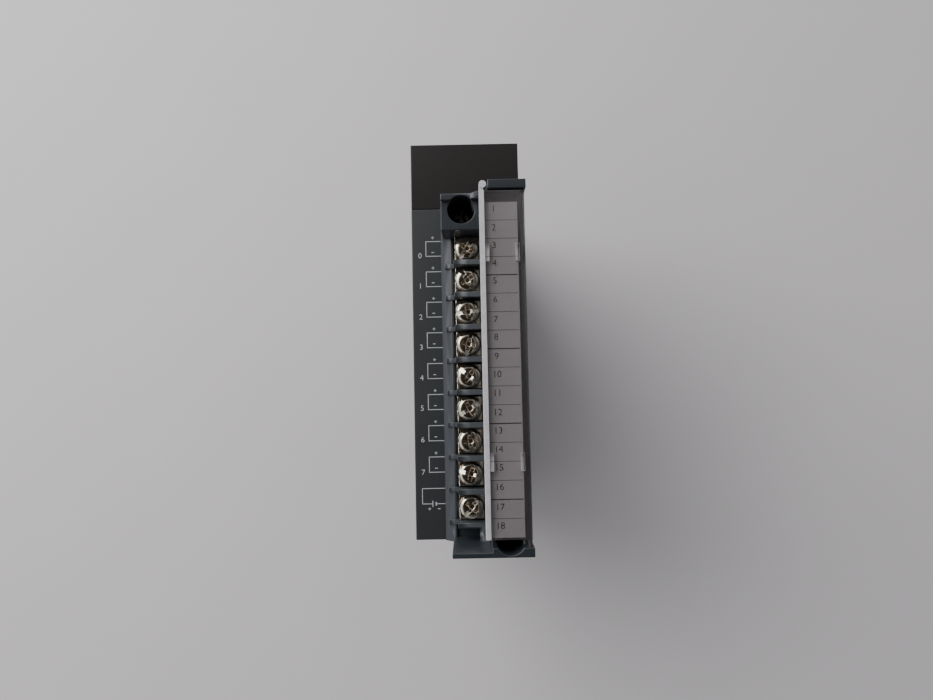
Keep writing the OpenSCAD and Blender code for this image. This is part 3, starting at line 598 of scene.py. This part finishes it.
clear_guide, guide_tree, guide_shader = new_material("clear_guide")
guide_place = add_node(guide_tree, "ShaderNodeTexCoord")
guide_noise = add_node(guide_tree, "ShaderNodeTexNoise", {"Scale": 900.0, "Detail": 2.0})
guide_gloss = add_node(guide_tree, "ShaderNodeMapRange", {"To Min": 0.04, "To Max": 0.16})
guide_tree.links.new(guide_place.outputs["Object"], guide_noise.inputs["Vector"])
guide_tree.links.new(guide_noise.outputs["Fac"], guide_gloss.inputs["Value"])
guide_tree.links.new(guide_gloss.outputs["Result"], guide_shader.inputs["Roughness"])
guide_shader.inputs["Base Color"].default_value = (0.85, 0.87, 0.88, 1)
guide_shader.inputs["Alpha"].default_value = 0.45
fitted(
    eased("light_guide", "lamp_light_guide", 0.1 * mm), clear_guide,
    "module_case", "clear_guide", "light_guide")

# ---- Rear connector ----
# A shrouded two-row plug in glass-filled polyester. Its square pins are gold on bronze, pressed
# through the moulding and bent over to the main board.
fitted(
    eased("bus_connector", "bus_shroud", 0.15 * mm), connector_plastic,
    "module_case", "connector_plastic", "bus_connector")


def first_of(node, near):
    """One of a CAD node's separate solids, the one nearest to a place, as a merged skin."""
    skin = merged_skin(node)
    seed = min(skin.verts, key=lambda v: (v.co - Vector(near)).length)
    kept, waiting = {seed}, [seed]
    while waiting:
        for joined in waiting.pop().link_edges:
            for vert in joined.verts:
                if vert not in kept:
                    kept.add(vert)
                    waiting.append(vert)
    bmesh.ops.delete(skin, geom=[v for v in skin.verts if v not in kept], context="VERTS")
    return skin


pin_count = 16
pin_pitch = 2 * mm
bus_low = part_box("bus_contacts")[0]
for side, pin_x, nodes in (("left", -2.9 * mm, ["bus_contacts"]), ("right", 2.3 * mm, [])):
    pin = eased_skin(first_of("bus_contacts", (pin_x, bus_low.y, bus_low.z)), "bus_pins_" + side, 0.1 * mm)
    row = in_a_row(pin, pin_count, (0, 0, 0), (0, pin_pitch, 0), gold)
    fitted(row, gold, "module_case", "gold_contact", *nodes)

# ---- Socket for the terminal block ----
# A black socket behind the bay, with one two-sided spring contact for each blade of the block.
fitted(
    eased("block_socket", "blade_socket", 0.15 * mm), connector_plastic,
    "module_case", "connector_plastic", "block_socket")
dressed("socket_contacts", gold)

# ---- Terminal block ----
# The lift-off block, one moulding in dark grey-blue nylon: a sloped left side, low barriers, an ear
# round the upper fixing screw, the raised right tier and the two end walls.
block_plastic = mottled(
    "block_plastic", (0.016, 0.0205, 0.0245), (0.024, 0.029, 0.034),
    7 * mm, (0.29, 0.40), 0.3 * mm, 0.005 * mm)
fitted(
    eased("block_housing", "block_moulding", 0.18 * mm), block_plastic,
    "terminal_block", "block_plastic", "block_housing")

# ---- Terminals, clamp plates and terminal screws ----
# Each terminal is a tinned brass bar. A square clamp plate with a turned-up edge sits on it, held by
# a nickel-plated screw with a slot and a cross, and every screw stopped at its own angle.
tin = mottled(
    "tinned_brass", (0.50, 0.49, 0.47), (0.66, 0.65, 0.62),
    1.2 * mm, (0.28, 0.45), 0.15 * mm, 0.003 * mm, 1.0)
nickel, nickel_tree, nickel_shader = new_material("nickel_plate")
nickel_place = add_node(nickel_tree, "ShaderNodeTexCoord")
stain = add_node(nickel_tree, "ShaderNodeTexNoise", {"Scale": 1100.0, "Detail": 3.0})
stain_colours = add_node(nickel_tree, "ShaderNodeMix", data_type="RGBA")
stain_colours.inputs["A"].default_value = (0.62, 0.55, 0.43, 1)
stain_colours.inputs["B"].default_value = (0.84, 0.80, 0.71, 1)
ripple_bump = add_node(nickel_tree, "ShaderNodeBump", {"Strength": 1.0, "Distance": 0.012 * mm})
nickel_gloss = add_node(nickel_tree, "ShaderNodeMapRange", {"To Min": 0.06, "To Max": 0.20})
nickel_tree.links.new(nickel_place.outputs["Object"], stain.inputs["Vector"])
nickel_tree.links.new(stain.outputs["Fac"], stain_colours.inputs["Factor"])
nickel_tree.links.new(stain_colours.outputs["Result"], nickel_shader.inputs["Base Color"])
nickel_tree.links.new(stain.outputs["Fac"], ripple_bump.inputs["Height"])
nickel_tree.links.new(ripple_bump.outputs["Normal"], nickel_shader.inputs["Normal"])
nickel_tree.links.new(stain.outputs["Fac"], nickel_gloss.inputs["Value"])
nickel_tree.links.new(nickel_gloss.outputs["Result"], nickel_shader.inputs["Roughness"])
nickel_shader.inputs["Metallic"].default_value = 1.0

column_count = 9
column_step = (0, -screw_pitch, 0)
# The screw's head, in millimetres.
screw_head_r, screw_head_h = 2.85, 2.0
slot_w = 0.85


def turned(name, profile, sides=40):
    """A part turned about Z from its outline of radius and height, which starts and ends on the axis."""
    work = bmesh.new()
    points = [work.verts.new((r * mm, 0, z * mm)) for r, z in profile]
    lines = [work.edges.new(pair) for pair in zip(points, points[1:])]
    bmesh.ops.spin(
        work, geom=points + lines, cent=(0, 0, 0), axis=(0, 0, 1), angle=radians(360), steps=sides)
    bmesh.ops.remove_doubles(work, verts=work.verts, dist=0.001 * mm)
    bmesh.ops.recalc_face_normals(work, faces=work.faces)
    mesh = bpy.data.meshes.new(name)
    work.to_mesh(mesh)
    work.free()
    return new_piece(name, mesh)


def thread(low, high, radius, pitch=0.5):
    """The zigzag side of a threaded shank, from its lower to its upper end."""
    turns = int((high - low) / pitch)
    step = (high - low) / turns
    root = radius - 0.25
    side = []
    for i in range(turns):
        side.append((root, low + i * step))
        side.append((radius, low + (i + 0.5) * step))
    return side + [(root, high)]


def add_cutter(work, outline, width):
    """A driver slot's cutter: an outline in X and Z, given from its middle outwards, made wide in Y."""
    floor = [(-x, z) for x, z in outline[::-1]] + outline
    above_head = [(floor[-1][0], 4), (floor[0][0], 4)]
    outline = [(x * mm, z * mm) for x, z in floor + above_head]
    sides = []
    for side in (-1, 1):
        corners = []
        for x, z in outline:
            corners.append(work.verts.new((x, side * width / 2 * mm, z)))
        work.faces.new(corners)
        sides.append(corners)
    for i in range(len(outline)):
        k = (i + 1) % len(outline)
        work.faces.new((sides[0][i], sides[0][k], sides[1][k], sides[1][i]))


def recessed(piece, cutters, rim):
    """Cuts slots into a screw's head, each given as outline, width and turn, and eases their rims."""
    for outline, width, turn in cutters:
        work = bmesh.new()
        add_cutter(work, outline, width)
        bmesh.ops.rotate(work, verts=work.verts, matrix=Matrix.Rotation(radians(turn), 3, "Z"))
        bmesh.ops.recalc_face_normals(work, faces=work.faces)
        mesh = bpy.data.meshes.new("cutter")
        work.to_mesh(mesh)
        work.free()
        tool = new_piece("cutter", mesh)
        cut = piece.modifiers.new("driver_slot", "BOOLEAN")
        cut.operation = "DIFFERENCE"
        cut.solver = "EXACT"
        cut.object = tool
        baked(piece)
        bpy.data.objects.remove(tool)
        bpy.data.meshes.remove(mesh)
    ease = piece.modifiers.new("eased_rims", "BEVEL")
    ease.width = rim
    ease.segments = 2
    ease.angle_limit = radians(40)
    ease.use_clamp_overlap = True
    return shaded(baked(piece))


def terminal_screw(name):
    """A low pan-head screw about the origin, its head above z = 0, with a slot across a cross."""
    head = [
        (0, screw_head_h), (1.6, 1.99), (2.2, 1.92), (2.5, 1.8), (2.7, 1.58), (2.82, 1.25),
        (screw_head_r, 0.8), (screw_head_r, 0.16), (2.72, 0.02), (1.25, 0.02),
    ]
    shank = [(1.25, -0.6)] + thread(-6.6, -0.7, 1.5)[::-1] + [(0.9, -7.1), (0, -7.1)]
    slot = [(0.5, 1.25), (1.5, 1.2), (3.3, 0.35)]
    cross = [(0.5, 0.7), (0.7, 0.75), (1.75, 2.1)]
    recesses = ((slot, slot_w, 0), (cross, slot_w, 0), (cross, slot_w, 90))
    return recessed(turned(name, head + shank), recesses, 0.1 * mm)


for level, first_turn in (("lower", 55), ("upper", 20)):
    bars, plates, screws = level + "_terminals", level + "_clamps", level + "_screws"
    low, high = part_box(screws)
    first = Vector(((low.x + high.x) / 2, high.y - screw_head_r * mm, high.z - screw_head_h * mm))
    bar = eased_skin(first_of(bars, (first.x, high.y, low.z)), level + "_terminal_bars", 0.08 * mm)
    fitted(
        in_a_row(bar, column_count, (0, 0, 0), column_step, tin), tin,
        "terminal_block", "tinned_brass", bars)
    plate = eased_skin(first_of(plates, (first.x, high.y, first.z)), level + "_clamp_plates", 0.1 * mm)
    fitted(
        in_a_row(plate, column_count, (0, 0, 0), column_step, nickel), nickel,
        "terminal_block", "nickel_plate", plates)
    screw = in_a_row(
        terminal_screw(level + "_terminal_screws"), column_count, first, column_step, nickel,
        radians(first_turn), radians(67))
    fitted(screw, nickel, "terminal_block", "nickel_plate", screws)

# ---- Fixing screws ----
# Two captive screws hold the block to the case. Each is black-oxide steel with a cross in its head
# and a narrow neck, on which a spring ring keeps it in the lifted block.
black_oxide = mottled(
    "black_oxide", (0.09, 0.085, 0.08), (0.15, 0.145, 0.14),
    1 * mm, (0.22, 0.38), 0.15 * mm, 0.003 * mm, 1.0)
for level in ("upper", "lower"):
    node = level + "_fixing_screw"
    low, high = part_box(node)
    length = (high.z - low.z) / mm
    head = [
        (0, length - 0.1), (1.3, length - 0.05), (1.9, length - 0.2), (2.2, length - 0.55),
        (2.3, length - 1.0), (2.3, length - 2.3), (2.2, length - 2.4), (1.44, length - 2.4),
    ]
    neck = [(1.44, 7.7), (1.1, 7.6), (1.1, 6.4)]
    shank = thread(0.6, 6.2, 1.45)[::-1] + [(0.9, 0), (0, 0)]
    cross = [(0.4, -1.4), (0.6, -1.4), (1.65, -0.1)]
    screw = turned(node + "_turned", [(r, z - length) for r, z in head + neck + shank])
    recessed(screw, ((cross, 0.75, 45), (cross, 0.75, 135)), 0.08 * mm)
    screw.data.transform(Matrix.Translation((0, 0, length * mm)))
    screw.data.transform(Matrix.Translation(((low.x + high.x) / 2, (low.y + high.y) / 2, low.z)))
    fitted(screw, black_oxide, level + "_fixing", "black_steel", node)
dressed("screw_retainers", zinc)

# ---- Label door ----
# A smoked clear polycarbonate lid over the upper tier. Its right edge is a round bead that turns on
# two pivots, and its left edge is a lip. The lip, the catch at its upper end and the upright walls of
# its windows are painted pale white: a painted glow standing in for the light that clear edges gather.
smoked, door_tree, door_shader = new_material("smoked_door")
door_place = add_node(door_tree, "ShaderNodeTexCoord")
door_haze = add_node(door_tree, "ShaderNodeTexNoise", {"Scale": 500.0, "Detail": 4.0})
door_gloss = add_node(door_tree, "ShaderNodeMapRange", {"To Min": 0.10, "To Max": 0.22})
door_colours = add_node(door_tree, "ShaderNodeMix", data_type="RGBA")
door_colours.inputs["A"].default_value = (0.050, 0.045, 0.046, 1)
door_colours.inputs["B"].default_value = (0.075, 0.068, 0.069, 1)
door_tree.links.new(door_place.outputs["Object"], door_haze.inputs["Vector"])
door_tree.links.new(door_haze.outputs["Fac"], door_gloss.inputs["Value"])
door_tree.links.new(door_haze.outputs["Fac"], door_colours.inputs["Factor"])
door_tree.links.new(door_gloss.outputs["Result"], door_shader.inputs["Roughness"])
door_tree.links.new(door_colours.outputs["Result"], door_shader.inputs["Base Color"])
door_shader.inputs["Alpha"].default_value = 0.37
door_shader.inputs["Specular IOR Level"].default_value = 1.0

# Pale white paint for the lip, the catch and the window walls: a painted glow, not a frosted finish.
lip_glow_paint = mottled(
    "painted_lip_glow", (0.38, 0.38, 0.39), (0.62, 0.62, 0.64), 1.5 * mm, (0.3, 0.45), 0.4 * mm, 0.01 * mm)
door = fitted(eased("label_door", "clear_door", 0.12 * mm), smoked, "door", "smoked_door", "label_door")
door.data.materials.append(lip_glow_paint)
door_low, door_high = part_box("label_door")
lip_right = door_low.x + 1.1 * mm
catch_right = door_low.x + 2.0 * mm
catch_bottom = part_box("block_housing")[1].y - 2.25 * mm
window_reach = 31 * mm
barrel_left = door_high.x - 1.35 * mm
split = bmesh.new()
split.from_mesh(door.data)
bmesh.ops.bisect_plane(
    split, geom=split.verts[:] + split.edges[:] + split.faces[:],
    plane_co=(lip_right, 0, 0), plane_no=(1, 0, 0))
# These faces take the painted glow: the lip, the catch at the upper end and the upright walls of the windows.
for face in split.faces:
    centre = face.calc_center_median()
    on_catch = centre.y > catch_bottom and centre.x < catch_right
    in_window = abs(face.normal.z) < 0.3 and abs(centre.y) < window_reach and centre.x < barrel_left
    if centre.x < lip_right or on_catch or in_window:
        face.material_index = 1
split.to_mesh(door.data)
split.free()

# ---- Label card ----
# A white card behind the door, printed in grey-black with eighteen numbered cells. A heavier line
# closes each group of four, and the card slides in behind four small hooks.
card_paper = mottled(
    "card_paper", (0.80, 0.755, 0.765), (0.88, 0.835, 0.845), 4 * mm, (0.75, 0.9), 0.2 * mm, 0.01 * mm)
card_ink = mottled(
    "card_ink", (0.030, 0.026, 0.028), (0.060, 0.052, 0.055), 0.4 * mm, (0.5, 0.7), 0.1 * mm, 0.002 * mm)
fitted(eased("label_card", "card_sheet", 0.03 * mm), card_paper, "door", "card_paper", "label_card")
card_low, card_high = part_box("label_card")
cell_count = 18
cell_h = (card_high.y - card_low.y) / cell_count
thin, heavy = 0.11 * mm, 0.26 * mm
card_marks = bmesh.new()
for cell in range(cell_count):
    top = card_high.y - cell * cell_h
    place = (card_low.x + 0.28 * (card_high.x - card_low.x), top - 0.36 * cell_h, card_high.z)
    add_numeral(card_marks, str(cell + 1), 1.45 * mm, place)
    if cell < cell_count - 1:
        line = heavy if cell % 4 == 3 else thin
        y = top - cell_h
        add_block(
            card_marks, (card_low.x + 0.2 * mm, y - line / 2, card_high.z - ink_height / 2),
            (card_high.x - 0.2 * mm, y + line / 2, card_high.z + ink_height / 2))
fitted(printed(card_marks, "card_print"), card_ink, "door", "card_paper")
